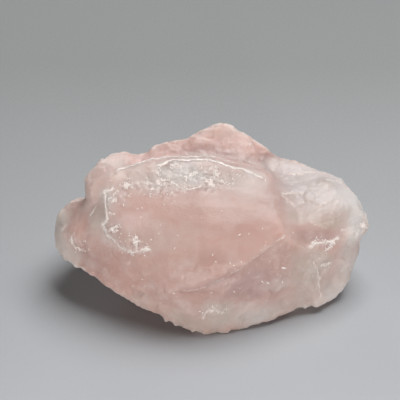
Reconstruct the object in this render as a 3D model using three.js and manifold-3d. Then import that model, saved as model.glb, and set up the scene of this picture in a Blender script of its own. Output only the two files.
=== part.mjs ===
// A rough lump of pink beryl, broken out with a hammer and never cut or tumbled.
// It grew as one crystal, so it is one solid. Its outside is what the blows left: a
// broad plate that leans back, a ridge standing behind it, a shoulder and a low lobe to
// the left, and a paler lobe over a crumbled foot to the right, all on a flat break.
//
// Millimetres. +X is the lump's right, +Y its back, +Z up. The origin is the middle of
// the lump's box, on the surface that it rests on.

import * as THREE from "three";
import { ConvexGeometry } from "three/addons/geometries/ConvexGeometry.js";
import { mergeVertices } from "three/addons/utils/BufferGeometryUtils.js";
import Module from "manifold-3d";

const leftEnd = -40.4; // the tip of the left lobe
const rightEnd = 40.3; // the tip of the right lobe
const frontEnd = -21.8; // the farthest bulge of the lower front
const backEnd = 24; // the back of the ridge, halfway down
const peakHeight = 39.8; // the top of the back ridge, the highest point
const rimHeight = 36; // the middle of the long rim
const lobeClearance = 12; // how far the left lobe's tip hangs above the ground
const restHeight = 0; // the flat break that the lump rests on
const facetSize = 3.8; // how far apart the corners of a shell-like scar are
const reach = 60; // farther from any corner than the lump is deep
const weldDistance = 1e-4; // corners closer than this are one corner

const wasm = await Module();
wasm.setup();

// A closed three.js geometry as a solid that can be joined and cut.
function solid(geometry) {
  geometry.deleteAttribute("normal");
  geometry.deleteAttribute("uv");
  const merged = mergeVertices(geometry, weldDistance);
  const triVerts = new Uint32Array(merged.index.array);
  const vertProperties = merged.attributes.position.array;
  return new wasm.Manifold(new wasm.Mesh({ numProp: 3, vertProperties, triVerts }));
}

// A block bounded by flat cleavage faces: the hull of its corners.
function block(corners) {
  return solid(new ConvexGeometry(corners.map((corner) => new THREE.Vector3(...corner))));
}

// A solid as an indexed three.js geometry.
function surface(shape) {
  const { vertProperties, triVerts } = shape.getMesh();
  const geometry = new THREE.BufferGeometry();
  geometry.setAttribute("position", new THREE.BufferAttribute(vertProperties, 3));
  geometry.setIndex(new THREE.BufferAttribute(triVerts, 1));
  return geometry;
}

// The point of the lump that a blow from outside, against facing, meets first.
function struck(geometry, near, out) {
  const start = near.clone().addScaledVector(out, reach);
  const ray = new THREE.Raycaster(start, out.clone().negate());
  return ray.intersectObject(new THREE.Mesh(geometry))[0].point;
}

// A shell-like scar, the cap of a large ball: width by height across, depth at its
// middle, opening towards facing, centred on the surface point in line with near. The
// ball is kept to a small ball round that point, so that it cuts nothing farther off.
function scar(geometry, { near, facing, width, height = width, depth }) {
  const radius = (width * width) / (8 * depth) + depth / 2;
  const ball = new THREE.IcosahedronGeometry(radius, Math.ceil(radius / facetSize));
  const out = new THREE.Vector3(...facing).normalize();
  const across = new THREE.Vector3(0, 0, 1).cross(out).normalize();
  const up = new THREE.Vector3().crossVectors(out, across);
  const hit = struck(geometry, new THREE.Vector3(...near), out);
  const centre = hit.clone().addScaledVector(out, radius - depth);
  ball.scale(1, height / width, 1);
  ball.applyMatrix4(new THREE.Matrix4().makeBasis(across, up, out).setPosition(centre));
  const round = new THREE.IcosahedronGeometry(0.7 * width, 3).translate(...hit.toArray());
  return solid(ball).intersect(solid(round));
}

// ---- corners that neighbouring blocks share ----

const rimLeft = [-23, 1, 35.1];
const rimRight = [14.8, 3, 32.6];
const plateEdge = [-26, -10.5, 25.4];
const cheek = [-20, -15.5, 21.7];
const brow = [17.5, -13.5, 25.3];
const jaw = [-10, -21, 14.5];
const chin = [-1.6, -21.2, restHeight];

// The front slab: its top edge is the long rim, its lower front stands almost upright.
const slab = [
  rimLeft, [-20.1, 2.5, 35.3], [-16.4, 3.5, 35.6], [-13.2, 5, 35.8], [-5.3, 5.5, rimHeight],
  [0.2, 5.5, rimHeight], [7.2, 5, 34.4], [12.6, 4.5, 33.6], rimRight,
  [-24.7, -1, 34.4], [-9.7, 2.6, rimHeight], [2.6, 2, 35.2], [9.7, 0.5, 33.7],
  [-26, -3, 31], [-26.2, -9, 25], cheek, jaw,
  [-1.8, -20.4, 16.6], [7.9, -18.6, 20.8], brow, [20.3, -14, 18.3], [14.1, -17.2, 15.6],
  [25.6, -11.9, 17.6], [25.4, -12.4, 11.4], [24.4, -13.4, 2.4],
  [-6.4, frontEnd, 9.1], [4.4, -20.8, 9.5], chin, [6.4, -19.9, 0.3], [13.4, -17.7, 0.8],
  [17.3, -15.6, 1.6], [21.2, -14.1, 2.3], [4, -18.6, restHeight], [12, -14, restHeight],
  [22, -9, restHeight],
  [-12, 12, 26], [-18, 8, 22], [-16, 8, 6], [-10, 12, restHeight], [16, 10, restHeight],
  [18, 8, 24], [4, 10.5, 27],
];

// The plate on the slab's face, proud of it along the left edge and the crumbled line.
// Its face bows like a barrel's side. At each station along X it is an arc about one
// axis, from near its top down to the angle below the vertical where the face breaks off.
const plateAxis = { y: -1, z: 10 };
const plateTop = 8;
const plateStep = 13;
const plateStations = [
  { x: -26, forward: 13.2, up: 21.8, end: 45 },
  { x: -20, forward: 17.3, up: 22.5, end: 59 },
  { x: -10, forward: 20.4, up: 22.6, end: 78 },
  { x: -1.6, forward: 21.2, up: 22.6, end: 73 },
  { x: 8, forward: 20.9, up: 21.8, end: 59 },
  { x: 13, forward: 20.6, up: 20.6, end: 49 },
  { x: 17.5, forward: 20.2, up: 19.5, end: 38 },
];
const plate = [[-10, 0, 22], [8, 0, 22]];
for (const { x, forward, up, end } of plateStations) {
  const steps = Math.ceil((end - plateTop) / plateStep);
  for (let step = 0; step <= steps; step += 1) {
    const angle = THREE.MathUtils.degToRad(plateTop + ((end - plateTop) * step) / steps);
    const y = plateAxis.y - forward * Math.sin(angle);
    const z = plateAxis.z + up * Math.cos(angle);
    plate.push([x, y, z]);
  }
}

// The shoulder: the blocky, rounded corner at the upper left.
const shoulder = [
  [-32.2, 1, 28.5], [-32, 3, 31.1], [-29.8, 5, 32.4], [-28.5, 8, 33.4], [-25.7, 10, 33.3],
  [-20.5, 12, 33.2], [-17.4, 12, 32.6], rimLeft, [-24.7, -1, 34.4], [-26, -3, 31],
  [-30, -1.5, 30.6], [-29.6, -4, 27.2], [-27.4, -7, 26.2], [-31.2, -2, 26.4], [-25, -9, 24],
  [-26, 12, 24], [-14, 10, 24], [-20, 0, 20],
];

// The low lobe that juts out to the left, clear of the ground.
const leftLobe = [
  [leftEnd, 1, 15.9], [-39.6, 2.4, 20.4], [-35.8, 3, 24], [-33, 4, 25.1], [-30, -0.6, 25.8],
  [-39.1, -4, lobeClearance + 0.5], [-37.7, -6.4, lobeClearance], [-32.8, -10, lobeClearance],
  [-37.6, -4.4, 19], [-33.6, -7.6, 20.6], [-29.8, -10.6, 20.4], [-29.6, -7.4, 24.6],
  [-27.6, -8.8, 25.4], [-26.2, -10, 25], [-31.4, 0.4, 26.8], [-28.6, -5.6, 26.6],
  [-35, 10, 20], [-36, 9, 12], [-28, 13, 10],
  [-22, 4, 6], [-14, 0, 8],
];

// The lower left face, which runs under from the cheek to the lobe and the chin.
const flank = [
  plateEdge, cheek, jaw, [-29.6, -10.4, 20.6], [-32.8, -10, lobeClearance], [-26.9, -13.6, 10.8],
  [-25, -14, 15], [-22.2, -15.2, 7.6], [-19, -16, 6.6], [-15.3, -17.2, 4.2], [-11, -18.8, 3],
  [-5.3, -20.6, 0.8], chin, [-17, -17, 14], [-6.4, frontEnd, 9.1],
  [-10, -8, restHeight], [-17, -3, 1], [-24, 0, 6], [-34, -2, 11], [-14, 0, 22],
];

// The back ridge: a second slab close behind the rim. This is its low left end.
const ridgeLeft = [
  [-16.7, 9, 35], [-14.7, 10, 36.2], [-10.5, 11.6, 35.9], [-7.9, 12.2, 35.7], [-5.4, 12.8, 36],
  [-17.4, 7.4, 33.4], [-12, 7.8, 34], [-4, 8.4, 34.2], [-14, 17, 30.2], [-8, 19.6, 29.4],
  [-2, 21.6, 30], [-20, 17, 22], [-12, 22.4, 18], [-14, 8, 24], [-2, 8, 24],
];

// The peak, which stands up from the middle of the ridge.
const peak = [
  [-5.4, 12.8, 36.4], [-2.8, 13.8, 37.6], [-0.3, 14.6, 39], [2.7, 14.8, peakHeight],
  [4.8, 14.6, 39.4], [7.3, 14, 38.5], [9.3, 13, 37.6], [9.8, 11, 36.3], [11.5, 9.2, 34.5],
  [13.3, 6.8, 32.4], [-7, 8.6, 33.8], [1, 8.4, 34.2], [7.6, 7.4, 32.8], [-2, 21.8, 30.4],
  [3, 22, 33], [8.6, 20.4, 30.8], [2, backEnd, 20], [12, 22, 17], [-12, 22, 18],
  [-14, 16, restHeight], [4, 18, restHeight], [14, 15, restHeight], [-8, 4, 10], [12, 4, 10],
];

// The lower end of the ridge, set back by a groove, running down to the right lobe.
const ridgeEnd = [
  [9.4, 13.6, 37.2], [12.4, 12.4, 35.5], [15.5, 11.6, 33.5], [17.7, 11.8, 31.1],
  [20, 12, 29.4], [10.4, 12.4, 34.6], [12.2, 11.4, 32.8], [14, 8.8, 30.8], [16.7, 6.6, 29.2],
  [19, 6, 27.6], [21, 6, 27.4], [22, 17, 20], [14, 20, 18], [10, 18, 30.4], [12, 10, 12],
  [20, 6, 14],
];

// The right lobe: pale, with a top that slopes back and steps down to its outer end.
const rightLobe = [
  [17.9, 13, 30.2], [22, 12, 28.8], [26.9, 11, 28], [29.4, 8, 28.6], [33, 8, 27.4],
  [35.6, 6, 25], [38, 4, 23.2], [39.6, 2, 20.3], [rightEnd, 0, 17.6], [40, -1, 14.9],
  [17.9, 1, 27.8], [22.8, 0, 28.2], [29.7, 3, 28.9], [19.1, -1.4, 26.9], [22.6, -3, 26.7],
  [27.3, -3.5, 26.9], [30.1, -2.2, 27], [33.2, -2, 25.8], [19.4, -6.6, 24.2],
  [22.7, -9, 24.2], [25.9, -9.2, 23.6], [29.5, -8.2, 22.8], [33.6, -5.6, 21.8],
  [20, -6, 20], [27, -5, 19], [34, -3, 18], [37, 7, 14], [33, 14, 18], [22, 17, 16], [12, 4, 16],
];

// The foot under the right lobe, down to the break.
const foot = [
  [19.6, -13.6, 18.3], [25.6, -11.9, 17.8], [25.4, -12.2, 11.4], [24.4, -13.4, 2.4],
  [21.2, -14.1, 2.3], [28.3, -12.4, 2], [31, -10.7, 2], [16, -12, 10], [29.2, -10.6, 17.2],
  [33.4, -7.5, 15.5], [36.6, -4.5, 14], [38.4, -2.4, 14.4], [38.3, -2, 11.7],
  [36.6, -4.6, 6.5], [33.7, -9.1, 3.2], [35.2, -7.6, 5], [22, -9, restHeight],
  [30, -7, restHeight], [20, -8, 20], [32, -4, 19], [37, 6, 9],
  [34, 9, 1], [36.8, 8, 12], [33, 8, restHeight], [22, 14, restHeight], [24, 15, 12], [12, 2, 4],
];

// The hollow waist between the right lobe and the foot.
const waist = [
  [19.6, -10.2, 22.2], [24, -9.5, 21.3], [29, -8.5, 21.2], [33, -6.1, 20.6], [36.4, -2.8, 18.8],
  [20, -6, 25], [30, -4.4, 24], [37, 0, 20.4], [20, -11, 16], [30, -8, 14], [37, 1, 14],
  [37.6, 5, 18], [36.6, 8.6, 14], [32, 10, 20],
];

// The saddle between the plate and the right lobe.
const saddle = [
  [12, -3.4, 30.9], [13.4, -1, 31.8], [15, -5, 29], [14, -8, 27.8], brow,
  [17.6, -3, 27.6], [19.3, -6.2, 24.2], [20.6, -10.4, 22], [22, 1, 27.6],
  [16, 8.6, 28.2], [11, 11.6, 28.8], [19, 10, 28.4], [10, 2, 20], [22, 6, 20],
];

// The crumbled lip along the top of the foot, and the round knob at its outer end.
const lip = [
  [24, -11.2, 18.6], [24.6, -11.4, 20], [26.5, -10.5, 21], [29.1, -9.4, 20.3], [31.7, -8, 20.4],
  [22.6, -11.4, 20], [24.2, -9.6, 21.3], [28.8, -8.6, 21.2], [32, -6.6, 20.8],
  [33.4, -7.4, 16.4], [29.4, -10.5, 17.4], [25.8, -11.7, 17.8], [27, -6, 17], [33, -4, 17],
];
const knob = [
  [32.4, -6.4, 20.6], [34, -6.2, 21.2], [36, -5, 20.8], [37.8, -3, 19.4], [38.9, -2.5, 16.9],
  [37.4, -4.8, 16.4], [35, -6.4, 16.8], [33.2, -7.2, 18.2], [34.8, -6.8, 19.6],
  [38.5, -2.5, 14.8], [36, 1, 18], [33, -2, 16],
];

// The rear: a lower block at each side of the ridge, both on the break.
const rearLeft = [
  [-26, 13, 31], [-20, 14.6, 31.4], [-31, 9, 27], [-33, 12, 20], [-24, 19.4, 20],
  [-27, 17, 10], [-33, 9, 10], [-16, 20.6, 12], [-16, 16, restHeight], [-20, 8, 4],
  [-8, 21.6, 20], [-12, 17.4, 30.4], [-34.8, 7, 13], [-31, 4, 25], [-22, 2, 4],
  [-12, 8, restHeight], [-12, 14, 24],
];
const rearRight = [
  [20, 15.6, 26.4], [28, 13.4, 26.4], [34, 11.6, 22], [36.4, 9.6, 14], [33, 14.4, 12],
  [24, 20, 18], [14, 22.6, 14], [14, 17, restHeight], [29, 13, restHeight], [34, 9, 4],
  [7, 23, 20], [10, 20, 29.4], [16, 17.4, 27.4], [6, 22, 12], [5, 18.2, restHeight],
  [37, 7, 12], [37, 6, 17], [18, 4, 6], [20, 6, 22],
];

// The body between all of these, down to the flat break, which undercuts the front left.
const body = [
  chin, [4, -18.6, restHeight], [12, -14, restHeight], [22, -9, restHeight],
  [30, -7, restHeight], [34, 8.6, restHeight], [28, 13.6, restHeight], [14, 17, restHeight],
  [3, 18.4, restHeight], [-12, 16.8, restHeight], [-18, 9, restHeight], [-17, -3, restHeight],
  [-9, -15, restHeight], [10, -12, 20], [23, -8, 19.4], [29, -5, 18], [29, 8, 18],
  [16, 15, 21.6], [8, 16.4, 21.6], [13.8, 8.8, 27.6], [0, 18, 21], [-18, 12, 20], [-20, 0, 20],
  [-14, -10, 20],
];

let lump = block(slab);
for (const corners of [
  plate, shoulder, leftLobe, flank, ridgeLeft, peak, ridgeEnd, rightLobe, foot, waist, saddle,
  lip, knob, rearLeft, rearRight, body,
]) {
  lump = lump.add(block(corners));
}

// The shell-like scars: where a flake came away, each leaves a shallow dish.
const scars = [
  { near: [2, 12, 37], facing: [0, -0.8, 0.6], width: 7, height: 4, depth: 0.4 },
  { near: [7, -20, 10], facing: [0.3, -1, 0.1], width: 17, height: 11, depth: 0.8 },
  { near: [31, -9, 9], facing: [0.5, -0.9, 0], width: 9, height: 12, depth: 0.6 },
  { near: [-20, -16, 14], facing: [-0.3, -0.9, -0.2], width: 11, height: 6, depth: 0.5 },
  { near: [-35, -7, 17], facing: [-0.4, -0.9, 0.1], width: 8, height: 6, depth: 0.5 },
  { near: [-6, 22, 24], facing: [-0.1, 0.9, 0.45], width: 21, height: 13, depth: 1.3 },
  { near: [13, 21, 21], facing: [0.3, 0.85, 0.4], width: 15, height: 12, depth: 1.1 },
  { near: [-22, 18, 20], facing: [-0.4, 0.9, 0.15], width: 16, height: 12, depth: 1.2 },
  { near: [-35, 8, 17], facing: [-0.8, 0.6, 0], width: 11, height: 9, depth: 0.9 },
  { near: [29, 15, 17], facing: [0.5, 0.85, 0.1], width: 14, height: 11, depth: 1.1 },
  { near: [37, 5, 12], facing: [1, 0.4, -0.1], width: 8, height: 10, depth: 0.7 },
  { near: [2, 20, 8], facing: [0, 0.95, -0.3], width: 24, height: 12, depth: 1.5 },
  { near: [28, 14, 5], facing: [0.5, 0.8, -0.2], width: 12, height: 7, depth: 1 },
  { near: [-19, 15, 5], facing: [-0.6, 0.5, -0.6], width: 13, height: 10, depth: 1.3 },
  { near: [-23, 1, 5], facing: [-0.3, -0.1, -0.9], width: 12, height: 8, depth: 0.8 },
];
for (const flake of scars) {
  lump = lump.subtract(scar(surface(lump), flake));
}

const geometry = surface(lump);
geometry.computeBoundingBox();
const middle = geometry.boundingBox.getCenter(new THREE.Vector3());
geometry.translate(-middle.x, -middle.y, -restHeight);

const crystal = new THREE.Mesh(
  geometry,
  new THREE.MeshStandardMaterial({ color: 0xd2ada5, roughness: 0.35, metalness: 0 }),
);
crystal.name = "crystal";

const group = new THREE.Group();
group.add(crystal);

export default group;
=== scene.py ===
"""A rough lump of pink morganite on a pale surface: one crystal, as broken from the rock."""

import bmesh
import bpy
import numpy as np
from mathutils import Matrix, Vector


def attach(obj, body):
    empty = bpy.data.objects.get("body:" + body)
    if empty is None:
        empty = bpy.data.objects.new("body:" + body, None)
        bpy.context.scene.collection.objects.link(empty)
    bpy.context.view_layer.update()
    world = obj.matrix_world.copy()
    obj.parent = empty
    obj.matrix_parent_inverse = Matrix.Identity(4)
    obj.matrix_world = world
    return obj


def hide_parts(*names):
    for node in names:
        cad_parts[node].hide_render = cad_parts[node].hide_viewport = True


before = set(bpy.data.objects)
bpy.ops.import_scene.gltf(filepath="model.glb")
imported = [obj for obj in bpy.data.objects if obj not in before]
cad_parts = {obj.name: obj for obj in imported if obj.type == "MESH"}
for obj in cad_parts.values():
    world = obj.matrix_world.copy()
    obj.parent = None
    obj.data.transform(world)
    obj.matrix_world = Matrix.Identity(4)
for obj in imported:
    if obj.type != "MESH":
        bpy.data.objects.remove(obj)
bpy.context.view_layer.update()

MM = 0.001

# ---- Camera ---------------------------------------------------------------------------
# A short telephoto a hand's length and a half away, looking down on the lump from the
# front. It looks at a point low on the back ridge, so that the whole lump is in view.

camera_data = bpy.data.cameras.new("camera")
camera_data.lens = 85
camera_data.sensor_width = 36
camera = bpy.data.objects.new("camera", camera_data)
bpy.context.scene.collection.objects.link(camera)
looked_at = Vector((-2.8, -1.1, 26.15)) * MM
camera_height = np.radians(36)
camera_away = 236 * MM
backwards = Vector((0, -np.cos(camera_height), np.sin(camera_height)))
camera.location = looked_at + camera_away * backwards
camera.rotation_euler = (np.pi / 2 - camera_height, 0, 0)
bpy.context.scene.camera = camera

# ---- The skin: an even mesh over the large breaks --------------------------------------
# One mass of beryl, split by blows along its cleavage and left as it broke. The mesh takes
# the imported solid's breaks and eases the shallow bends between them, while the lines
# where two breaks meet sharply stay sharp. Points, lines and sizes are in millimetres.

VOXEL = 0.375
SETTLING = 4  # rounds that take the remeshed skin's small steps off first
STEADYING = 3  # rounds that even out the normals before the turns are measured
EASING = 24  # rounds, each half-way to the neighbours' mean: about 0.9 mm in all
BENT = 0.03  # 1 - cos of the turn between neighbours at which easing fades
KEPT = 1.2  # how near a kept line the easing fades
FILLING = 300  # rounds that stretch the skin over a crease

# Lines where two breaks meet: round the leaning plate, and the foot of the ridge behind it.
rim = [
    (-23.1, -0.4, 35), (-19.8, 1.3, 35.4), (-15.9, 2.5, 35.6), (-12.7, 3.7, 35.8), (-6.5, 4, 36),
    (0.7, 4.4, 35.9), (3.7, 3.4, 35.3), (5.9, 2.6, 34.8), (8.9, 3, 34.3), (12.1, 2.8, 33.6),
]
rim_step = [
    (-12.4, 0.6, 35.6), (-10.4, 1.7, 36), (-8.5, 1.9, 36), (-5, 2.3, 35.9), (-2.8, 2.4, 35.8),
    (-0.3, 2.4, 35.7), (1.9, 1.7, 35.4), (3.6, 0.9, 35), (5.8, 0.3, 34.5), (8, 0.7, 34.2), (9.7, -0.1, 33.8),
]
plate_left = [
    (-24.2, -4.6, 32), (-26.1, -4.5, 30.9), (-25.9, -7.5, 29.8), (-25.5, -8.9, 28.8), (-25, -10.5, 27.3),
    (-26.1, -10.4, 25.4), (-25.5, -12.3, 24.4), (-24, -13.5, 23.5), (-21.8, -15.2, 22.5),
]
plate_foot = [
    (-11.2, -21.5, 14.3), (-8.8, -22.1, 14.2), (-6.4, -22.1, 14.3), (-2.8, -21.7, 15.4),
    (0.8, -21.2, 16.9), (4.8, -20.4, 18.7), (9, -19.5, 21.4), (12.7, -17.3, 22.6),
    (15.3, -15.8, 24.2), (17.5, -14.6, 25.3),
]
ridge_foot = [
    (-3.6, 7, 34.8), (-1, 7, 35), (1.2, 6.8, 35), (3.8, 6.5, 34.6), (6.5, 6.2, 34), (9, 6.1, 33.2),
    (11.8, 5.8, 32.5),
]
pocket = [  # corners of the hollow between the shoulder and the left lobe
    (-30.6, 0.9, 24.4), (-31, 3.2, 25.3), (-28, 0.5, 26.5), (-26, 5.5, 24.5), (-14.5, 9.5, 20),
    (-15.5, 8.5, 24.5), (-17, -2, 22), (-23, -4.5, 19.5), (-18, -1.5, 11.5), (-20, 4, 11),
    (-25, 4.5, 13), (-27, 2, 17), (-29, -0.5, 21.5),
]
creases = [  # line along the bottom, how far to each side it is filled, how freely
    ([(-17.9, 9, 33), (-14.1, 7.3, 34.3), (-9.9, 6.8, 34.2), (-3.6, 7.3, 34.2), (3.8, 6.6, 33.8)], 1.9, 1),
    ([(3.8, 6.6, 33.8), (9, 6.1, 32.7), (11.8, 5.8, 32.3), (14, 5.9, 31), (16, 6.8, 30.4)], 2.4, 1),
    ([(-27.3, -3.4, 31.3), (-26.9, -5.5, 29.2), (-26.6, -7.8, 26.9)], 1.3, 0.9),
    ([(-26.5, -8.3, 25.9), (-26.4, -9.8, 25), (-26, -11.6, 24.9)], 1.4, 0.9),
    ([(32.5, -8.2, 17), (34.6, -7.4, 16.2), (36.6, -5.4, 15.2), (38, -3.2, 14.7)], 1.8, 0.9),
    ([(38, -3.2, 14.7), (37.8, -0.6, 14.8), (37.3, 2, 14.6)], 1.8, 1),
    ([(16, 6.8, 30.4), (17.3, 3.6, 29.6), (17.7, -1.6, 29.4), (18.1, -4.9, 28.2)], 2.2, 0.8),
    ([(18.1, -4.9, 28.2), (18.3, -7.6, 27.2), (19.5, -10, 25.5)], 2.2, 0.8),
    ([(21.2, -9, 23.3), (23.7, -9.5, 22.5), (26.7, -9.2, 21.8), (29.7, -8.5, 21.6), (31.7, -7.9, 22)],
     1.5, 0.7),
    ([(-31.3, -2.4, 27.1), (-30.8, -3.6, 26.4), (-30.2, -5.2, 25.8)], 1.2, 0.7),
    ([(-31.2, 2.6, 25.5), (-30.2, 0.2, 24.8), (-29, -2, 24.4)], 2.2, 1),
    ([(-17.4, 4, 31.6), (-17.9, 5.8, 30.4), (-18.2, 8, 30.6), (-18.6, 12.2, 30.6)], 2.2, 1),
    ([(-12.6, 15.3, 0.5), (-12.2, 15.8, 4), (-12.1, 16.2, 8)], 1.6, 1),
]
# Lines kept sharp besides: the ridge's groove and the lip under the right lobe.
ridge_groove = [(8.3, 10.9, 37.2), (11.6, 8.3, 34.6), (13.4, 5.9, 32)]
lip_line = [
    (24.3, -12.4, 20.1), (25, -11.7, 20.7), (26, -11.6, 20.9), (27.5, -11.3, 20.5), (29.6, -10.3, 20.1),
    (31.7, -9.1, 20.4),
]


def even_skin(solid_node, voxel, pocket):
    """An even mesh over a copy of the solid: its doubles merged, the pocket filled with the
    hull of its corners, and all of it remeshed in voxels."""
    skin = solid_node.copy()
    skin.data = solid_node.data.copy()
    solid = bmesh.new()
    solid.from_mesh(skin.data)
    corners = [solid.verts.new(Vector(corner) * MM) for corner in pocket]
    bmesh.ops.convex_hull(solid, input=corners)
    solid.to_mesh(skin.data)
    solid.free()
    bpy.context.scene.collection.objects.link(skin)
    weld = skin.modifiers.new("weld", "WELD")
    weld.merge_threshold = 0.001 * MM
    remesh = skin.modifiers.new("remesh", "REMESH")
    remesh.mode = "VOXEL"
    remesh.voxel_size = voxel * MM
    evaluated = skin.evaluated_get(bpy.context.evaluated_depsgraph_get())
    mesh = bpy.data.meshes.new_from_object(evaluated)
    bpy.data.objects.remove(skin)
    return mesh


def read(items, field, width, kind):
    """One field of a mesh's items as an array, one row for each item."""
    flat = np.empty(width * len(items), kind)
    items.foreach_get(field, flat)
    return flat.reshape(-1, width)


def rings(ends, size):
    """For each point, the far ends of its edges, in a row. A short row ends in the point
    itself. The second array is 1 at each far end and 0 at what fills the row."""
    here, there = np.concatenate([ends, ends[:, ::-1]]).T
    order = np.argsort(here, kind="stable")
    count = np.bincount(here, minlength=size)
    place = np.arange(len(here)) - np.repeat(np.cumsum(count) - count, count)
    ring = np.repeat(np.arange(size)[:, None], count.max(), axis=1)
    real = np.zeros(ring.shape, np.float32)
    ring[here[order], place] = there[order]
    real[here[order], place] = 1
    return ring, real


def unit(vectors):
    """The vectors at length one."""
    return vectors / (np.linalg.norm(vectors, axis=-1, keepdims=True) + 1e-12)


def outward(points, quads):
    """Each point's normal: the sum of its faces' normals, which are the cross products of
    their diagonals, at length one."""
    corners = points[quads]
    face = np.cross(corners[:, 2] - corners[:, 0], corners[:, 3] - corners[:, 1])
    sums = [np.bincount(quads.ravel(), np.repeat(column, 4), len(points)) for column in face.T]
    return unit(np.stack(sums, axis=1))


def spread(values, ring, weights, rounds):
    """Each round moves every value half-way to the weighted mean of its ring."""
    for _ in range(rounds):
        mean = np.einsum("nk,nkc->nc", weights, values[ring])
        total = weights.sum(axis=1, keepdims=True)
        values = values + 0.5 * (mean - total * values)
    return values


def to_line(points, corners):
    """From each point to a line through the corners: the distance, the nearest point on
    the line, the line's direction there, and how far along it that is, from 0 to 1."""
    corners = np.array(corners, np.float32)
    lengths = np.linalg.norm(np.diff(corners, axis=0), axis=1)
    starts = np.concatenate([[0], np.cumsum(lengths)])
    nearest = np.full(len(points), np.inf, np.float32)
    foot, along = np.zeros_like(points), np.zeros_like(points)
    done = np.zeros(len(points), np.float32)
    for number, (start, end) in enumerate(zip(corners[:-1], corners[1:])):
        way = (end - start) / lengths[number]
        share = np.clip((points - start) @ way, 0, lengths[number])
        place = start + share[:, None] * way
        distance = np.linalg.norm(points - place, axis=1)
        closer = distance < nearest
        nearest = np.where(closer, distance, nearest)
        foot[closer], along[closer] = place[closer], way
        done = np.where(closer, (starts[number] + share) / starts[-1], done)
    return nearest, foot, along, done


def near(distance, width):
    """1 at no distance, fading to 0 about twice the width away: exp(-(distance / width)^2)."""
    return np.exp(-((distance / width) ** 2))


def near_line(points, corners, width):
    """1 on the line through the corners, fading to 0 about twice the width away."""
    return near(to_line(points, corners)[0], width)


def filled(points, ring, real, hollow, rounds):
    """The points spread as freely as hollow says, so that a crease fills up like a skin
    stretched from one side of it to the other."""
    chosen = np.flatnonzero(hollow > 0.02)
    weights = (real / real.sum(axis=1, keepdims=True) * hollow[:, None])[chosen]
    points = points.copy()
    for _ in range(rounds):
        mean = np.einsum("nk,nkc->nc", weights, points[ring[chosen]])
        points[chosen] += 0.5 * (mean - weights.sum(axis=1, keepdims=True) * points[chosen])
    return points


def eased(points, quads, ring, real, kept):
    """The points spread over their rings, with less weight along an edge the more the
    surface turns there, 1 / (1 + (turn / BENT)^2), and none at kept lines. What that
    takes from the size is spread in the same way and given back."""
    share = real / real.sum(axis=1, keepdims=True)
    points = spread(points, ring, share, SETTLING)
    normals = unit(spread(outward(points, quads).astype(np.float32), ring, share, STEADYING))
    turn = 1 - np.einsum("nc,nkc->nk", normals, normals[ring])
    weights = share / (1 + (turn / BENT) ** 2) * (1 - kept)[:, None]
    smooth = spread(points, ring, weights, EASING)
    return smooth + spread(points - smooth, ring, weights, EASING)


skin_mesh = even_skin(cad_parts["crystal"], VOXEL, pocket)
points = read(skin_mesh.vertices, "co", 3, np.float32) / MM
points = points.astype(np.float32)
quads = read(skin_mesh.loops, "vertex_index", 4, np.int32)
ring, real = rings(read(skin_mesh.edges, "vertices", 2, np.int32), len(points))
kept = np.zeros(len(points), np.float32)
for line in (rim, rim_step, plate_left, ridge_groove, lip_line):
    kept = np.maximum(kept, near_line(points, line, KEPT))
points = eased(points, quads, ring, real, kept)
hollow = np.zeros(len(points), np.float32)
for line, width, share in creases:
    hollow = np.maximum(hollow, share * np.minimum(1.5 * near_line(points, line, width), 1))
points = filled(points, ring, real, hollow, FILLING)

# ---- The skin: how each part of it broke ------------------------------------------------
# Beryl breaks like thick glass. A clean blow leaves shell-like dishes with fine ripples,
# a poor one leaves crumbs, and edges lose small chips. Each kind of break is a height on
# the skin, above or below the eased surface, and the heights are added up along it.

LEAN = np.array([0, 0.59, 0.81], np.float32)  # straight up the leaning plate
LATTICE = 48  # random values along each side of the noise's lattice, which then repeats
CUBES = 24  # cubes along each side of the block of cells, which then repeats
LEAVES = 3  # leaf edges for each unit that the leaves' noise rises

crushed_spots = [  # middle, half-sizes, share
    ((-16, -4.5, 32.6), (3.6, 1.7, 1.4), 1), ((-11, -5.4, 32.2), (3.4, 2.4, 1.6), 1),
    ((-5.5, -5.2, 32.4), (4, 1, 0.9), 1), ((-0.2, -3, 33), (3.6, 3.4, 2.2), 0.9),
    ((-21.8, -6.6, 31.2), (1.6, 1.4, 1.4), 1), ((-19, -15.6, 24), (1.7, 1.5, 1.8), 1),
    ((-12.6, -0.3, 35), (1.4, 0.9, 0.9), 1), ((-23.4, -12.2, 26), (0.9, 0.9, 0.9), 0.8),
    ((-16.6, -16.6, 23.6), (2, 1.4, 1.2), 0.6), ((-33, -9, 18.6), (1.5, 2, 1.5), 1),
    ((37.6, -4, 18.6), (2, 2.4, 2), 0.8), ((25.3, -12, 20.6), (1.1, 1.2, 0.9), 1),
    ((28.8, -11, 20), (1.8, 1.4, 1.2), 1), ((0.6, -22.2, 8.4), (2, 2, 1), 0.9),
    ((18.6, 4.5, 29.3), (1.4, 2.4, 1.2), 0.8), ((20.4, 4.8, 29.2), (1.2, 0.8, 0.8), 0.8),
    ((31.3, 4.7, 28.2), (1.2, 0.7, 0.7), 1), ((-8.4, 0.6, 35.3), (1.4, 0.8, 0.8), 0.8),
    ((27.4, -13, 14.6), (2, 1.6, 0.9), 0.5),
]

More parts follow.
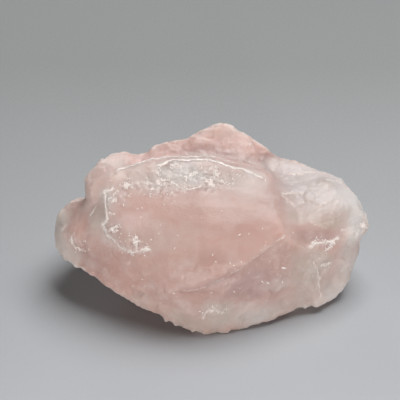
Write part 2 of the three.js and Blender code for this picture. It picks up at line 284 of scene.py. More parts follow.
# Lines where a thin flake came off and left a step, on the right lobe.
flake_top = [(17.4, -2.8, 29.3), (19.8, -1.2, 28.5), (21.4, -0.6, 28.1), (22.8, -1.3, 28.1)]
flake_foot = [
    (17.4, -3.2, 29.2), (18.4, -3.8, 28.4), (19.6, -4.6, 27.5), (20.9, -4.4, 26.6), (22.4, -4.2, 26.7),
    (23.2, -3.1, 27.3),
]
broad_flake = [
    (25.2, 0.3, 28.5), (23.6, -0.7, 28.3), (23.1, -1.6, 28), (23.3, -2.9, 27.4), (24.4, -3.2, 27.4),
    (25.8, -4, 27.1), (27, -4.6, 26.9), (28.3, -4.1, 27), (29.9, -2.9, 27.2), (31.2, -2.3, 26.9),
]
upper_flake = [(18.5, 5.9, 29.1), (22.6, 5.9, 29.4), (26.5, 6.7, 29.1)]

# The jagged edge low on the left, and a crack at the foot on the right.
low_edge = [
    (-33.5, -10.5, 12.8), (-29.7, -12.9, 11.2), (-26.7, -14.4, 9.6), (-20.2, -17, 6.6), (-12, -19.8, 3),
    (-5.3, -21.7, 0.8),
]
foot_crack = [(25.2, -13.2, 16.1), (26.9, -13.1, 12), (27.1, -13.3, 8.8), (27.5, -13.5, 4.9)]


def ramp(value, start, end):
    """0 at start, 1 at end and a smooth step between them: 3 t^2 - 2 t^3."""
    share = np.clip((value - start) / (end - start), 0, 1)
    return share * share * (3 - 2 * share)


def patch(points, middle, radii):
    """1 in the middle of a soft patch: exp(-(x/a)^2 - (y/b)^2 - (z/c)^2)."""
    return np.exp(-(((points - np.array(middle)) / np.array(radii)) ** 2).sum(axis=1))


def noise(points, size, seed):
    """Smooth random heights between about -1 and 1. A lattice of the given spacing holds
    random values, and a smooth step joins them along each axis."""
    table = np.random.default_rng(seed).uniform(-1, 1, [LATTICE] * 3).astype(np.float32)
    place = points / size
    base = np.floor(place).astype(int)
    share = place - base
    share = share * share * (3 - 2 * share)
    total = np.zeros(len(points), np.float32)
    for corner in np.ndindex(2, 2, 2):
        weight = np.prod(np.where(corner, share, 1 - share), axis=1)
        total += weight * table[tuple(((base + corner) % LATTICE).T)]
    return total


def cells(points, size, seed):
    """Cells round one random centre in each cube of that size. For each point: how far it
    is from its centre and the way there, both in cubes, and its cell's own three random
    numbers from -1 to 1."""
    random = np.random.default_rng(seed)
    shift = random.uniform(0, 1, (CUBES, CUBES, CUBES, 3)).astype(np.float32)
    own = random.uniform(-1, 1, (CUBES, CUBES, CUBES, 3)).astype(np.float32)
    place = points / size
    base = np.floor(place).astype(int)
    nearest = np.full(len(points), np.inf, np.float32)
    offset, number = np.zeros_like(points), np.zeros_like(points)
    for corner in np.ndindex(3, 3, 3):
        cell = base + np.array(corner) - 1
        index = tuple((cell % CUBES).T)
        away = place - (cell + shift[index])
        distance = np.linalg.norm(away, axis=1)
        closer = distance < nearest
        offset[closer], number[closer] = away[closer], own[index][closer]
        nearest = np.where(closer, distance, nearest)
    return nearest, offset, number


def shells(points, size, depth, seed):
    """Shallow dishes that meet in ridges: depth times the squared distance from the
    middle of each, in half-cells, less one."""
    distance = cells(points, size, seed)[0]
    return depth * (np.minimum(2 * distance, 1.4) ** 2 - 1)


def facets(points, size, tilt, seed):
    """A small flat face on each cell, tilted its own way: size * tilt * (offset . number)."""
    _, offset, number = cells(points, size, seed)
    return size * tilt * (offset * number).sum(axis=1)


def ripples(points, struck, gap, reach, height, seed):
    """Rings that spread from where the blow struck, the given gap apart, and die away."""
    distance = np.linalg.norm(points - np.array(struck), axis=1) + 0.8 * noise(points, 5, seed)
    return height * np.sin(2 * np.pi * distance / gap) * near(distance, reach)


def terraces(value, count, edge_share):
    """A slope turned into steps: level, then up over the last share of each step."""
    steps = value * count
    level = np.floor(steps)
    return (level + ramp(steps - level, 1 - edge_share, 1)) / count


def beside(points, normals, line, width):
    """How far to the left of a line each point is, seen from outside and looking along it,
    and a fade to 0 the given width away from it and at its two ends."""
    distance, foot, along, done = to_line(points, line)
    left = np.sign(((points - foot) * np.cross(normals, along)).sum(axis=1)) * distance
    ends_fade = ramp(done, 0, 0.12) * ramp(1 - done, 0, 0.12)
    return left, near(distance, width) * ends_fade


normals = outward(points, quads).astype(np.float32)
share = real / real.sum(axis=1, keepdims=True)
broad = spread(points, ring, share, EASING)
edge = ((points - broad) * normals).sum(axis=1)  # above 0 on edges, below 0 in hollows
front = ramp(-normals[:, 1], 0.2, 0.5)
back = ramp(normals[:, 1], 0.1, 0.5)
under = ramp(-normals[:, 2], 0.85, 0.98) * ramp(-points[:, 2], -1.2, -0.4)

# Where each kind of break is found.
plate_face = np.minimum(1.6 * patch(points, (-2, -10, 28), (24, 12, 9)), 1)
ridge_wall = patch(points, (0, 9.5, 36), (20, 6, 5)) * ramp(points[:, 1], 5.2, 6.6)
crumbling = sum(share_here * patch(points, middle, radii) for middle, radii, share_here in crushed_spots)
crumbling = np.clip(1.5 * crumbling, 0, 1) * ramp(noise(points, 2.2, 17), -0.8, 0.1)
lobe_top = np.minimum(1.4 * patch(points, (27, 0, 28), (10, 7, 4)), 1)
rough = np.clip(1 - 0.9 * plate_face - 0.95 * lobe_top, 0, 1)

# Swells, shell-like dishes and small flats, then crumbs where the stone is crushed.
height = 0.30 * noise(points, 11, 1) + 0.14 * noise(points, 5, 2) * (0.4 + 0.6 * rough)
height += shells(points, 9, 0.22, 3) * rough + shells(points, 4.2, 0.08, 4) * rough
height += facets(points, 3.4, 0.09, 5) * rough ** 2 + facets(points, 1.9, 0.05, 18) * rough ** 2
height += 0.02 * noise(points, 1.4, 6)
height += ramp(crumbling, 0.15, 0.7) * (facets(points, 0.85, 0.24, 7) + 0.06 * noise(points, 0.8, 8))

# Ragged edges, most of all the one low on the left.
ragged = ramp(edge, 0.03, 0.2) * (1 - 0.8 * plate_face)
height += ragged * (0.34 * noise(points, 1.4, 44) + 0.2 * noise(points, 0.8, 45))
jagged = near_line(points, low_edge, 1.8)
height += jagged * (0.4 * noise(points, 1.5, 60) + 0.28 * noise(points, 0.85, 61))

# The right lobe's top, and less so the rough faces: thin leaves that overlap at a slant.
slanting = points @ np.array([[0.8, 0.5, -0.3], [0.1, 0.4, 0.9], [0.6, -0.8, 0.1]]).T * (0.3, 1, 1)
height += lobe_top * (0.12 * noise(slanting, 1.7, 46) + 0.07 * noise(slanting, 0.8, 47))
leaves = noise(slanting, 3.2, 48) + 0.25 * noise(points, 1.1, 49)
leaf_share = np.clip(lobe_top + 0.5 * rough, 0, 1)
height += leaf_share * 0.45 * (terraces(leaves, LEAVES, 0.3) - leaves)

# Faint stripes along the ridge's wall, and ripples from where four blows struck.
wavy = points @ LEAN + 0.9 * noise(points, 6, 9) + 0.25 * noise(points, 2.2, 10)
height += ridge_wall * (0.03 * np.sin(2 * np.pi * wavy / 1.7) + 0.1 * noise(points, 1.6, 11))
blows = [  # where it struck, the gap between its rings, their reach, height and seed, the side
    ((24, -24, 2), 1.9, 16, 0.035, 12, front), ((-16, 24, 30), 1.8, 20, 0.09, 13, back),
    ((34, 16, 22), 1.5, 15, 0.08, 14, back), ((-30, -12, 24), 1.6, 12, 0.04, 15, front),
]
for struck, gap, reach, rise, seed, side in blows:
    height += ripples(points, struck, gap, reach, rise, seed) * side

# Steps that a flake left as it came off.
steps = [  # line, how much lower its left side is, how far from the line the step is felt
    (rim_step, 0.36, 2.2), (plate_foot, -0.25, 2.4), (foot_crack, 0.25, 2.4),
    (flake_top, -0.3, 2.4), (flake_foot, -0.35, 2.4), (broad_flake, -0.3, 1.8), (upper_flake, -0.3, 3),
]
for line, step, reach in steps:
    left, fade = beside(points, normals, line, reach)
    height -= step * fade * (ramp(left, -0.2, 0.25) - 0.5)

# Chips off the edges.
from_chip, _, chip_number = cells(points, 1.7, 16)
chipped = ramp(edge, 0.07, 0.25) * (chip_number[:, 0] > -0.1) * ramp(0.75 - from_chip, 0, 0.25)
height -= 0.36 * chipped

height *= 1 - under  # the break that the lump rests on stays flat
points = points + height[:, None] * normals
points = spread(points, ring, share * 0.5 * (1 - crumbling)[:, None], 1)
points[:, 2] = np.maximum(points[:, 2], 0)

# ---- The skin: how clear and how pink each part is --------------------------------------
# Milky beryl, pink right through, with paler clouds, deeper rose streaks and smoky clear
# ends. Some clouds are painted light or painted shade, each marked where it stands. Where a
# blow bruised it, it is white, and the white along the rim and the step below it is partly
# a painted highlight. Each point of the mesh carries a colour, its share of white for
# bruise and painted highlight, and how clear it is, and the material adds what is finer
# than the mesh.

REFRACTION = 1.58  # beryl's index
ROSE = (0.655, 0.462, 0.417)
DEEP = (0.63, 0.395, 0.345)
SALMON = (0.69, 0.505, 0.47)
MAUVE = (0.53, 0.365, 0.345)
BLUSH = (0.595, 0.39, 0.345)
DARK = (0.56, 0.36, 0.32)
CREAM = (0.66, 0.57, 0.535)
PEARL = (0.60, 0.555, 0.535)
MILK = (0.74, 0.68, 0.655)
SMOKE = (0.62, 0.545, 0.495)
DUSK = (0.55, 0.465, 0.415)
PALE = (0.74, 0.705, 0.685)
HAZE_COLOUR = (0.80, 0.74, 0.71, 1)
# White of bruised crystal, also used for the painted highlight along the rims.
BRUISE_AND_HIGHLIGHT_WHITE = (0.96, 0.88, 0.84, 1)
SCATTER = 5 * MM  # how far light wanders under the milky skin
SMALL_FLATS = 0.55 * MM  # size of the flats that glitter in a bruise

clouds = [  # middle, half-sizes, colour, strength
    ((-3, 8.6, 35.6), (21, 3.4, 3), SALMON, 1),
    ((3, 13, 38.8), (7, 3, 2), CREAM, 0.4),
    ((5, 10.4, 36.9), (3, 1.6, 1.4), CREAM, 0.4),
    ((11.8, 6.5, 33.1), (2.4, 2.4, 2), DEEP, 0.6),
    ((15.3, 8.2, 31.8), (2.6, 4, 3), (0.42, 0.275, 0.25), 1),
    ((-3, 3, 36), (20, 2.5, 2), SALMON, 0.6),
    # Paler in the groove behind the rim at its left, which lies in shade: painted light.
    ((-15, 6.5, 34), (5, 3, 2), (0.97, 0.74, 0.70), 1),
    ((18, -7, 26.8), (3, 4, 3), (0.70, 0.56, 0.52), 0.7),
    # Paler in the groove behind the rim at its right end, which lies in shade: painted light.
    ((11, 5.5, 33), (3, 2.5, 2), (0.72, 0.55, 0.51), 0.8),
    # This and the next two: pearl and cream along the top of the plate, painted sheen and painted glow where
    # light comes through the thin rim.
    ((-7, -1.5, 34), (8, 4, 3), PEARL, 1),
    ((-19, -1, 34.5), (10, 5, 3), CREAM, 0.75),
    ((8, -2.5, 33), (7, 4, 3), PEARL, 0.6),
    # Paler on the shoulder's top, which faces away from the lamps: painted light.
    ((-28, 2, 31.5), (6, 8, 5), (0.79, 0.62, 0.57), 0.9),
    # Paler at the foot of the shoulder's wall, which lies in shade: painted light.
    ((-31.2, -3, 26.8), (2, 2.5, 2.5), (0.86, 0.68, 0.63), 0.9),
    ((-25, -6, 30.5), (2, 3, 3), MILK, 0.8),
    ((-27.5, -8, 25), (2.2, 3, 4), (0.68, 0.60, 0.55), 0.9),
    ((-16, -16, 25), (7, 3, 3), CREAM, 0.3),
    ((-8, -14.5, 27.6), (10, 2.6, 1.6), CREAM, 0.25),
    ((5, -12, 29), (9, 2.6, 1.6), MAUVE, 0.5),
    ((12, -9, 30), (7, 5, 2.5), MAUVE, 0.9),
    ((12, -13, 27), (8, 5, 2.5), BLUSH, 0.7),
    ((-19, -8, 30), (6, 3, 3), DEEP, 0.4),
    ((2, -9.5, 30.8), (13, 4, 2.5), BLUSH, 1),
    ((-32, -6.5, 23.5), (3, 3.5, 3.5), (0.76, 0.535, 0.485), 0.9),
    # The left lobe's end is smoky grey, painted lighter where it faces away from the lamps.
    ((-38.5, -1, 18), (4, 6, 5), (0.83, 0.735, 0.68), 1),
    ((-36, -8, 14), (5, 4, 3.5), (0.69, 0.62, 0.585), 0.9),
    ((-22, -16, 14), (9, 5, 6), DEEP, 0.5),
    ((-27, -14, 13), (6, 4, 4), DARK, 0.7),
    ((-16, -18.5, 8), (7, 3, 1.8), SMOKE, 0.4),
    ((8, -20, 14.5), (14, 4, 5), MAUVE, 1),
    ((-1, -19, 20.5), (6, 3, 3), DARK, 0.8),
    ((-5, -21, 11.5), (7, 3, 3.5), DARK, 0.9),
    ((19, -15.5, 19), (4, 3, 4), DARK, 0.8),
    ((11, -19, 4.5), (8, 4, 3), (0.69, 0.63, 0.61), 1),
    ((2, -22, 6.5), (3.5, 2.5, 3.5), SMOKE, 0.8),
    ((-6, -22, 4), (5, 3, 4), SMOKE, 0.4),
    ((23, -14, 11), (5, 5, 9), (0.60, 0.51, 0.465), 0.85),
    ((30, -10, 4), (7, 5, 5), (0.70, 0.64, 0.62), 0.9),
    ((35, -7, 12), (4, 5, 6), (0.68, 0.62, 0.60), 0.8),
    ((27, -12.6, 15.5), (2.5, 3, 2.5), SMOKE, 0.8),
    ((26, -9.5, 22), (7, 2.5, 1.4), MAUVE, 0.8),
    ((36, -5, 19), (4, 4, 3), MILK, 1),
    ((28, 1, 28.5), (11, 7, 4), (0.61, 0.545, 0.54), 1),
    ((24, 8.5, 29.5), (10, 4, 3), (0.75, 0.68, 0.67), 1),
    # This and the next: paler on the right lobe's outer side, which faces away from the lamps: painted light.
    ((36, 0, 23), (5, 6, 5), PALE, 1),
    ((34.5, 1.5, 26.5), (4.5, 4, 3), (0.80, 0.77, 0.76), 0.9),
    ((-19.5, -11.5, 27.5), (4, 3.5, 3), (0.76, 0.60, 0.57), 0.8),
    ((29, -6, 25.5), (8, 3, 2), (0.59, 0.505, 0.475), 0.9),
    # Grey-brown under the right lobe's belly, where it overhangs: painted shade.
    ((30, -7.2, 24), (5, 2, 1.4), DUSK, 0.9),
    ((-8, 8.7, 35.2), (4, 2.5, 2), DEEP, 0.5),
    ((8, -8.5, 30.8), (11, 4, 3), (0.56, 0.425, 0.385), 0.6),
    ((-25, -14.8, 16.5), (5, 3, 4), DARK, 0.35),
    ((-5.2, -22.5, 5.4), (4, 2, 2.5), DUSK, 0.5),
    ((21.8, -6.6, 25.8), (3, 2.5, 2), DUSK, 0.6),
    ((28.5, 1.6, 28.8), (3, 2.5, 2), DUSK, 0.45),
    ((0, 22, 18), (22, 8, 12), DEEP, 0.4),
    ((-26, 14, 20), (9, 8, 9), CREAM, 0.6),
    ((28, 14, 16), (10, 8, 9), MILK, 0.6),
    ((8, 22, 6), (16, 6, 4), MILK, 0.5),
]
step_end = [(11, -0.4, 33.3), (12.5, -0.7, 32.6)]
plate_corner = [(-20, -16.5, 22.3), (-18.4, -17, 22.2), (-16.4, -17, 23.1), (-14.7, -17.4, 23.3)]
bruised_and_highlit_lines = [  # line, half-width in mm, how white
    # The white along the rim and the step below it is partly a painted highlight on those edges, and partly
    # bruised crystal.
    (rim[:6], 0.3, 1.3), (ridge_foot, 0.35, 0.3), (rim[5:], 0.25, 0.45), (rim_step, 0.4, 2.1),
    (step_end, 0.25, 1.1),
    (plate_left[:6], 0.42, 1.1), (plate_left[5:] + plate_corner, 0.6, 0.85), (plate_foot[2:], 0.3, 0.45),
    (flake_top, 0.3, 0.9), (flake_foot, 0.5, 0.4), (broad_flake, 0.6, 0.35), (upper_flake, 0.3, 0.8),
    (foot_crack, 0.25, 0.7), (lip_line, 0.48, 0.95),
    ([(-28.4, -6, 27.9), (-29.8, -6.5, 25.5)], 0.22, 0.9),
    ([(-34, 2, 24.8), (-37.1, 0.7, 22.3), (-38.9, 0, 20.3)], 0.35, 0.45),
    ([(-36.5, -4.1, 20.6), (-37.4, -5, 19.4)], 0.3, 0.5),
    ([(-25.7, -9.4, 28.3), (-23.5, -10.2, 28.5)], 0.25, 0.8),
    ([(32.1, -7.6, 21.4), (33.7, -6.7, 21.4), (35.7, -5, 20.5)], 0.3, 0.5),
    ([(29.5, 3.8, 28.8), (31.1, 4.2, 28.3), (33.1, 5, 27.1)], 0.45, 0.8),
    ([(34.9, 4.3, 25.7), (36.7, 3.3, 24.2), (37.9, 2.1, 22.9), (39, 0.7, 21), (39.4, -0.9, 19.1)], 0.4, 0.6),
    ([(-9.6, -3.3, 33.1), (-7.7, -4.6, 32.3), (-5.2, -5.4, 32.3), (-2.3, -4, 32.4)], 0.3, 0.8),
    ([(-6.7, -3.6, 32.8), (-3.5, -0.6, 34.5)], 0.3, 0.5),
    ([(-1.4, -22.6, 8.2), (0.2, -22.6, 8.6), (1.6, -22.4, 8.4), (2, -22.3, 7.6)], 0.3, 0.9),
    ([(-1.4, -22.6, 8.2), (-1.9, -22.6, 7), (-2, -22.7, 5.8)], 0.3, 0.7),
]


def nearest(places, points):
    """For each place, the number of the point nearest to it."""
    return np.array([np.argmin(((points - place) ** 2).sum(axis=1)) for place in places])


def laid(line, points):
    """The line's corners and a place every half-millimetre between them, each moved to the
    nearest point of the skin."""
    line = np.array(line)
    count = np.ceil(2 * np.linalg.norm(np.diff(line, axis=0), axis=1)).astype(int)
    ends = zip(line[:-1], line[1:], count)
    parts = [np.linspace(start, end, number, endpoint=False) for start, end, number in ends]
    places = np.concatenate([*parts, line[-1:]])
    chosen = nearest(places, points)
    moved_on = np.flatnonzero(np.diff(chosen, prepend=-1))
    return points[chosen[moved_on]]


def turned(tint, share, colour):
    """Each point's tint turned that share of the way to the colour."""
    return tint + share[:, None] * (np.array(colour) - tint)


bruised_and_highlit_lines = [(laid(line, points), width, white) for line, width, white in bruised_and_highlit_lines]

warps = [noise(points, 5, seed) + 0.5 * noise(points, 2.2, seed + 3) for seed in (20, 21, 22)]
bent = points + 1.4 * np.stack(warps, axis=1)
tint = np.tile(ROSE, (len(points), 1))
for middle, radii, colour, strength in clouds:
    tint = turned(tint, strength * np.minimum(1.5 * patch(bent, middle, radii), 1), colour)

streaked = bent * (0.35, 1, 1)
streaks = 0.6 * noise(streaked, 2.6, 30) + 0.4 * noise(streaked, 1.1, 31)
tint = turned(tint, (0.25 + 0.25 * rough) * ramp(streaks, 0.1, 0.9), MILK)
tint = turned(tint, 0.5 * ramp(-streaks, 0.1, 0.9), tint * (0.97, 0.85, 0.82))

mottles = 0.6 * noise(bent, 2.3, 51) + 0.5 * noise(bent, 1.2, 52)
low = ramp(-points[:, 2], -16, -6) * front
tint = turned(tint, 0.4 * (low * ramp(mottles, 0.1, 0.6)), DUSK)
# Painted light: the hollows are coloured lighter, for the light that seeps through them.
tint *= 1 + 0.22 * ramp(-edge, 0.1, 0.6)[:, None]  # light that seeps through fills the hollows

broken = ramp(noise(points, 1.5, 32), -0.7, 0.1)
bruise_and_highlight = 0.4 * ramp(crumbling, 0.15, 0.7) * ramp(noise(points, 0.8, 33), -0.3, 0.5)
# Bruise white along the lines; along the rim and the step below it, also painted highlight.
for line, width, white in bruised_and_highlit_lines:
    fade = near_line(points, line, width)
    bruise_and_highlight = np.maximum(bruise_and_highlight, white * fade * (0.45 + 0.55 * broken))
bruise_and_highlight += 0.25 * near_line(points, plate_left, 1.6)
up_leaf = leaves * LEAVES - np.floor(leaves * LEAVES)
leaf_edge = ramp(up_leaf, 0.62, 0.85) * leaf_share
bruise_and_highlight = np.maximum(bruise_and_highlight, 0.45 * leaf_edge * broken * ramp(noise(points, 3, 50), -0.3, 0.5))
bruise_and_highlight = np.maximum(bruise_and_highlight, 0.5 * ramp(edge, 0.12, 0.3) * broken)
glossy = patch(points, (-6, -2, 33.8), (9, 4, 3)) + 0.5 * near_line(points, rim_step, 0.8)
clear = 0.06 + 0.1 * patch(points, (-38, -3, 16), (6, 8, 7))
clear += 0.12 * patch(points, (8, -20, 2), (30, 10, 7))

skin_mesh.vertices.foreach_set("co", (points * MM).astype(np.float32).ravel())
skin_mesh.update()
skin_mesh.shade_smooth()
for name, values in (("bruise_and_highlight", bruise_and_highlight), ("clear", clear), ("glossy", glossy)):
    skin_mesh.attributes.new(name, "FLOAT", "POINT").data.foreach_set("value", values.astype(np.float32))
rgba = np.concatenate([tint, np.ones((len(points), 1))], axis=1).astype(np.float32)
skin_mesh.attributes.new("tint", "FLOAT_COLOR", "POINT").data.foreach_set("color", rgba.ravel())
crystal = bpy.data.objects.new("crystal_skin", skin_mesh)
bpy.context.scene.collection.objects.link(crystal)


def new_material(name):
    """A material of that name, with its nodes, its links and its surface node."""
    material = bpy.data.materials.new(name)
    material.use_nodes = True
    tree = material.node_tree
    return material, tree.nodes, tree.links, tree.nodes["Principled BSDF"]


material, nodes, links, surface = new_material("pink_crystal")


def node(kind, inputs=(), **settings):
    """A node of the kind in the node tree at hand, its settings made and each named input
    set or linked."""
    made = nodes.new(kind)
    for name, value in settings.items():
        setattr(made, name, value)
    for name, value in dict(inputs).items():
        if isinstance(value, bpy.types.NodeSocket):
            links.new(value, made.inputs[name])
        else:
            made.inputs[name].default_value = value
    return made


def read_attribute(name):
    """The attribute that the mesh carries under that name."""
    return node("ShaderNodeAttribute", attribute_name=name)


def maths(operation, *values):
    """The result of a sum, product or the like of sockets and numbers."""
    return node("ShaderNodeMath", dict(enumerate(values)), operation=operation).outputs[0]


def vector_maths(operation, *values):
    """The node that gives the difference or the dot product of two vectors."""
    return node("ShaderNodeVectorMath", dict(enumerate(values)), operation=operation)


def mixed(share, first, second):
    """The first colour turning into the second as the share goes from 0 to 1. A colour mix
    has its colours at the sockets numbered 6 and 7, and its result at 2."""
    made = nodes.new("ShaderNodeMix")
    made.data_type = "RGBA"
    for socket, value in ((made.inputs[0], share), (made.inputs[6], first), (made.inputs[7], second)):
        if isinstance(value, bpy.types.NodeSocket):
            links.new(value, socket)
        else:
            socket.default_value = value
    return made.outputs[2]


def ranged(value, low, high, first, last):
    """The value from low to high, turned into first to last and held there."""
    inputs = {"Value": value, "From Min": low, "From Max": high, "To Min": first, "To Max": last}
    return node("ShaderNodeMapRange", inputs).outputs[0]


place = node("ShaderNodeTexCoord").outputs["Object"]


def grain(size, detail):
    """Fractal noise over the object, its largest lumps the given size in millimetres."""
    inputs = {"Vector": place, "Scale": 1 / (size * MM), "Detail": detail}
    return node("ShaderNodeTexNoise", inputs).outputs["Fac"]


# Bruise white, and along the rims painted highlight, turns the colour white.
bruised_and_highlit = read_attribute("bruise_and_highlight").outputs["Fac"]
colour = read_attribute("tint").outputs["Color"]
haze = grain(5, 3)
sugar = grain(0.9, 2)
colour = mixed(ranged(haze, 0.5, 0.75, 0, 0.25), colour, HAZE_COLOUR)
white = maths("MULTIPLY", bruised_and_highlit, ranged(sugar, 0.35, 0.6, 0.35, 1))
colour = mixed(white, colour, BRUISE_AND_HIGHLIGHT_WHITE)
links.new(colour, surface.inputs["Base Color"])
satin = ranged(grain(2.5, 3), 0.3, 0.7, 0.40, 0.52)
satin = maths("SUBTRACT", satin, maths("MULTIPLY", read_attribute("glossy").outputs["Fac"], 0.2))
links.new(satin, surface.inputs["Roughness"])
links.new(read_attribute("clear").outputs["Fac"], surface.inputs["Transmission Weight"])
surface.inputs["IOR"].default_value = REFRACTION
links.new(maths("SUBTRACT", 1, maths("MULTIPLY", white, 0.85)), surface.inputs["Subsurface Weight"])
surface.inputs["Subsurface Radius"].default_value = (1, 0.88, 0.84)
surface.inputs["Subsurface Scale"].default_value = SCATTER

flat_cell = node("ShaderNodeTexVoronoi", {"Vector": place, "Scale": 1 / SMALL_FLATS})
cell_turn = vector_maths("SUBTRACT", flat_cell.outputs["Color"], (0.5, 0.5, 0.5)).outputs[0]
cell_middle = vector_maths("SUBTRACT", place, flat_cell.outputs["Position"]).outputs[0]
cell_height = vector_maths("DOT_PRODUCT", cell_turn, cell_middle).outputs["Value"]
glitter = maths("MULTIPLY", cell_height, ranged(bruised_and_highlit, 0.1, 0.7, 0, 1.2))
fine = maths("ADD", maths("MULTIPLY", grain(0.7, 3), 0.075 * MM), maths("MULTIPLY", grain(2.2, 2), 0.08 * MM))
bump = node("ShaderNodeBump", {"Height": maths("ADD", glitter, fine), "Distance": 1.0, "Strength": 1.0})
links.new(bump.outputs[0], surface.inputs["Normal"])

absorption = node("ShaderNodeVolumeAbsorption", {"Color": (0.95, 0.72, 0.68, 1), "Density": 60})
links.new(absorption.outputs[0], nodes["Material Output"].inputs["Volume"])

skin_mesh.materials.clear()
skin_mesh.materials.append(material)
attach(crystal, "root")
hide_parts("crystal")

# ---- Splinters --------------------------------------------------------------------------
# Where the beryl is crushed, along bruised edges and in the crumbs, thin splinters stand
# half out of the skin and flash white. Their white is crushed crystal and partly painted
# glints, and the dense rows along the rim and the step below it are partly a painted
# highlight on those edges. Each is a long double pyramid, and all are one mesh. Lengths
# are in millimetres.

LINE_GAP = 0.3  # between the splinters along a bruised line, less the whiter it is
STRAND_GAP = 0.1  # between those along the whitest lines
LINE_SIZES = ((0.25, 0.07, 0.05), (0.7, 0.17, 0.12))  # half-sizes along, across and out: least, most
CRUMB_SIZES = ((0.12, 0.06, 0.05), (0.5, 0.18, 0.14))
DASH_SIZES = (1, 0.3, 0.15)  # the same three, as shares of a dash's half-length
IN_CRUMBS = 1400  # splinters in the crushed spots
ON_FACE = 30  # splinters strewn over the front
PINK_WHITE = (0.95, 0.86, 0.82, 1)
BRIGHT_WHITE = (0.98, 0.95, 0.93, 1)

dashes = [  # single splinters on the clean faces: place, half its length
    (2.5, -11, 30.1, 0.3), (6.7, -15.7, 26.5, 0.5), (5.2, -20.2, 21, 0.35), (7.1, -19.8, 21.6, 0.35),
    (17.3, -16.6, 17.1, 0.95), (12.2, -19, 14.7, 0.6), (13.7, -18.4, 14.2, 0.7), (17.3, -16.8, 12.8, 0.5),
    (5.2, -20.7, 13.3, 0.6), (-0.2, -21.7, 13.9, 0.5), (-2.3, -22, 13.4, 0.3), (19.5, -11.9, 24.1, 0.6),
    (12, -14, 27, 0.3), (16.8, -15.5, 23, 0.3), (10.9, -19.2, 16.4, 0.3), (14, -17.4, 19.6, 0.3),
    (25, -13.3, 11.7, 0.5), (-28.9, -1.4, 31.8, 0.35), (-17.9, -10.1, 30, 0.45), (-16.7, -10, 30.3, 0.4),
    (5.3, -20.7, 19.9, 0.35), (15.9, -17.5, 15.6, 0.35), (3.4, -21, 16.1, 0.3), (-1.1, -20.9, 20.1, 0.3),
    (1, -20, 21.8, 0.4), (-8, -16.1, 26.5, 0.3), (-12.3, -13.8, 28, 0.3), (26.7, -12.6, 16.9, 0.3),
    (31.8, -9.3, 12.9, 0.3), (22.9, -14.1, 5.1, 0.4), (28.1, -11.7, 5.6, 0.4), (13.2, -1, 32.2, 0.5),
]


def splinters(middles, ways, normals, sizes):
    """Double pyramids: six corners each, at plus and minus the three half-sizes along the
    way, across it and along the normal, and eight faces."""
    ways = unit(ways - (ways * normals).sum(axis=1, keepdims=True) * normals)
    axes = np.stack([ways, np.cross(normals, ways), normals], axis=1) * sizes[:, :, None]
    corners = middles[:, None] + np.concatenate([axes, -axes], axis=1)
    one = [(0, 1, 2), (1, 3, 2), (3, 4, 2), (4, 0, 2), (1, 0, 5), (3, 1, 5), (4, 3, 5), (0, 4, 5)]
    return corners.reshape(-1, 3), (np.array(one) + 6 * np.arange(len(middles))[:, None, None]).reshape(-1, 3)


random = np.random.default_rng(40)
normals = outward(points, quads)
places, ways, sizes = [], [], []
for line, width, white in bruised_and_highlit_lines:
    line = np.array(line)
    lengths = np.linalg.norm(np.diff(line, axis=0), axis=1)
    # The whitest lines, along the rim and the step below it, are partly a painted highlight.
    strand = white > 1
    gap = STRAND_GAP if strand else LINE_GAP / white
    at = np.arange(0, lengths.sum(), gap) + random.uniform(-0.1, 0.1)
    section = np.clip(np.searchsorted(np.cumsum(lengths), at), 0, len(lengths) - 1)
    along = np.diff(line, axis=0)[section] / lengths[section, None]
    start = np.cumsum(lengths)[section] - lengths[section]
    astray = 0.05 if strand else 0.12
    places.append(line[section] + along * (at - start)[:, None] + random.normal(0, astray, (len(at), 3)))
    ways.append(along + random.normal(0, 2 * astray, (len(at), 3)))
    sizes.append(random.uniform(*LINE_SIZES, (len(at), 3)) * (0.35 + 0.8 * white))
clustered = crumbling * front * ramp(noise(points, 1.3, 41), -0.1, 0.6)
strewn = patch(points, (0, -18, 22), (22, 8, 9)) * front
for likely, count in ((clustered, IN_CRUMBS), (strewn, ON_FACE)):
    chosen = random.choice(len(points), count, p=likely / likely.sum())
    places.append(points[chosen])
    ways.append(random.normal(0, 1, (count, 3)))
    sizes.append(random.uniform(*CRUMB_SIZES, (count, 3)))
dashes = np.array(dashes)
places.append(dashes[:, :3])
ways.append(random.normal(0, 1, (len(dashes), 3)))
sizes.append(dashes[:, 3:] * DASH_SIZES)

places, ways, sizes = np.concatenate(places), np.concatenate(ways), np.concatenate(sizes)
chosen = nearest(places, points)
corners, faces = splinters(points[chosen], ways, normals[chosen], sizes)
splinter_mesh = bpy.data.meshes.new("splinters")
splinter_mesh.from_pydata((corners * MM).tolist(), [], faces.tolist())
splinter_piece = bpy.data.objects.new("splinters", splinter_mesh)
bpy.context.scene.collection.objects.link(splinter_piece)

crushed_and_glint_material, nodes, links, surface = new_material("crushed_crystal_and_glints")
place = node("ShaderNodeTexCoord").outputs["Object"]
links.new(mixed(grain(1.5, 2), PINK_WHITE, BRIGHT_WHITE), surface.inputs["Base Color"])
surface.inputs["Roughness"].default_value = 0.25
surface.inputs["IOR"].default_value = REFRACTION
splinter_mesh.materials.append(crushed_and_glint_material)
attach(splinter_piece, "root")

# ---- The surface under the lump ---------------------------------------------------------
# The lump stands on a sheet of matt board with a fine tooth. The board is pale grey in
# front of the lump and turns darker behind it: painted light, for the lamps' light that
# falls off away from the front.

BOARD_LIT_IN_FRONT = (0.59, 0.625, 0.67, 1)
BOARD_SHADED_BEHIND = (0.305, 0.32, 0.325, 1)
BOARD_TOOTH = (0.62, 0.63, 0.65, 1)

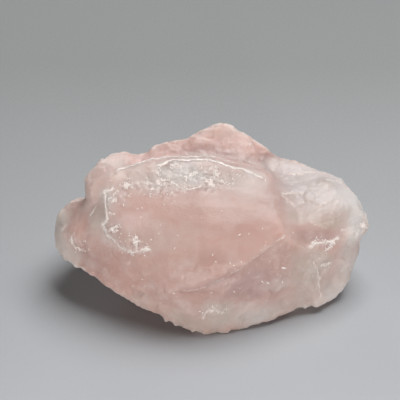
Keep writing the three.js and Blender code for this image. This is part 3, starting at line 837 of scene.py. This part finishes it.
bpy.ops.mesh.primitive_plane_add(size=4, location=(0, 0, 0))
floor = bpy.context.active_object
floor.name = "floor"
floor_material, nodes, links, surface = new_material("floor")
place = node("ShaderNodeTexCoord").outputs["Object"]
depth = node("ShaderNodeSeparateXYZ", {"Vector": place}).outputs["Y"]
# Painted light: the board darkens behind the lump, where less of the light falls.
away = maths("POWER", ranged(depth, -0.05, 0.12, 0, 1), 0.6)
board = mixed(away, BOARD_LIT_IN_FRONT, BOARD_SHADED_BEHIND)
board = mixed(ranged(grain(0.8, 2), 0.3, 0.7, 0, 0.10), board, BOARD_TOOTH)
links.new(board, surface.inputs["Base Color"])
surface.inputs["Roughness"].default_value = 0.75
floor.data.materials.append(floor_material)

# ---- Light ------------------------------------------------------------------------------
# A soft panel high above and a little behind, two low in front, and weak ones low at the
# left and behind, in a dim room. What is seen past the board is a plain grey wall.

LUMP_MIDDLE = Vector((0, 0, 0.015))
DIM_ROOM = (0.02, 0.016, 0.014, 1)
GREY_WALL = (0.36, 0.37, 0.38, 1)


def soft_light(name, place, size, power, colour=(1, 1, 1)):
    """A square panel of light, facing the lump's middle."""
    data = bpy.data.lights.new(name, "AREA")
    data.size = size
    data.energy = power
    data.color = colour
    panel = bpy.data.objects.new(name, data)
    bpy.context.scene.collection.objects.link(panel)
    panel.location = place
    panel.rotation_euler = (LUMP_MIDDLE - panel.location).to_track_quat("-Z", "Y").to_euler()


soft_light("key", (0.13, 0.10, 0.51), 0.36, 2.8, (1, 0.985, 0.975))
soft_light("fill", (0.20, -1.0, 0.045), 0.09, 4.6, (1, 0.93, 0.88))
soft_light("fill_left", (-0.20, -1.0, 0.045), 0.09, 1.5, (1, 0.93, 0.88))
soft_light("side", (-0.80, -0.30, 0.06), 0.12, 0.85, (1, 0.96, 0.93))
soft_light("back", (-0.25, 0.9, 0.25), 0.3, 1.5)
world = bpy.data.worlds.new("studio")
world.use_nodes = True
nodes, links = world.node_tree.nodes, world.node_tree.links
seen = node("ShaderNodeLightPath").outputs["Is Camera Ray"]
links.new(mixed(seen, DIM_ROOM, GREY_WALL), nodes["Background"].inputs["Color"])
bpy.context.scene.world = world
bpy.context.scene.view_settings.view_transform = "Standard"
